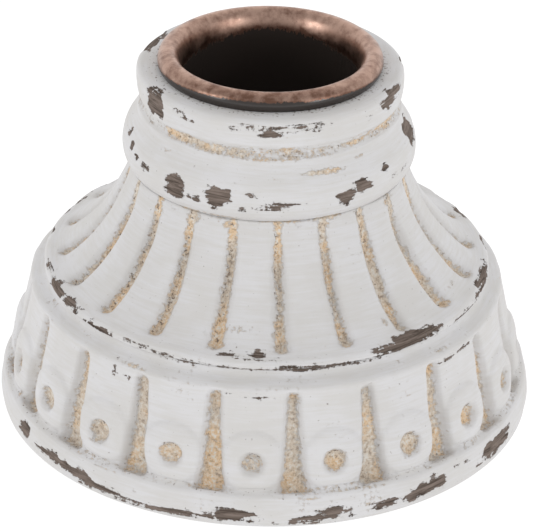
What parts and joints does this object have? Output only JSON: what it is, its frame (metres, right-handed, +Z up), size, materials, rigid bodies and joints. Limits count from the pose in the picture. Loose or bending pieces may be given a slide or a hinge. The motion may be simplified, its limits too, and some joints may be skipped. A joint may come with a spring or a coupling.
{
  "type": "candlestick",
  "caption": "Short round wooden candlestick with a fluted shoulder, a carved tongue-and-boss base, a ringed collar and a rolled metal candle cup.",
  "frame": {"origin": "middle of the felt's underside, on the turning axis, at the height of the surface that the candlestick stands on", "axes": "+Z up along the turning axis, out of the candle cup; -Y is the front"},
  "size_m": [0.0694, 0.0694, 0.0492],
  "materials": {
    "painted_wood": "matt chalky white paint rubbed through to dark wood on the edges, tan in the hollows",
    "antique_copper": "antique copper, burnished on the rolled lip and near black inside",
    "dark_steel": "dull, blackened",
    "felt": "short matt wool felt"
  },
  "bodies": {
    "root": {"beaded_base": "painted_wood", "fluted_shoulder": "painted_wood", "neck_collar": "painted_wood", "candle_cup": "antique_copper", "cup_screw": "dark_steel", "felt_disc": "felt"}
  },
  "joints": []
}
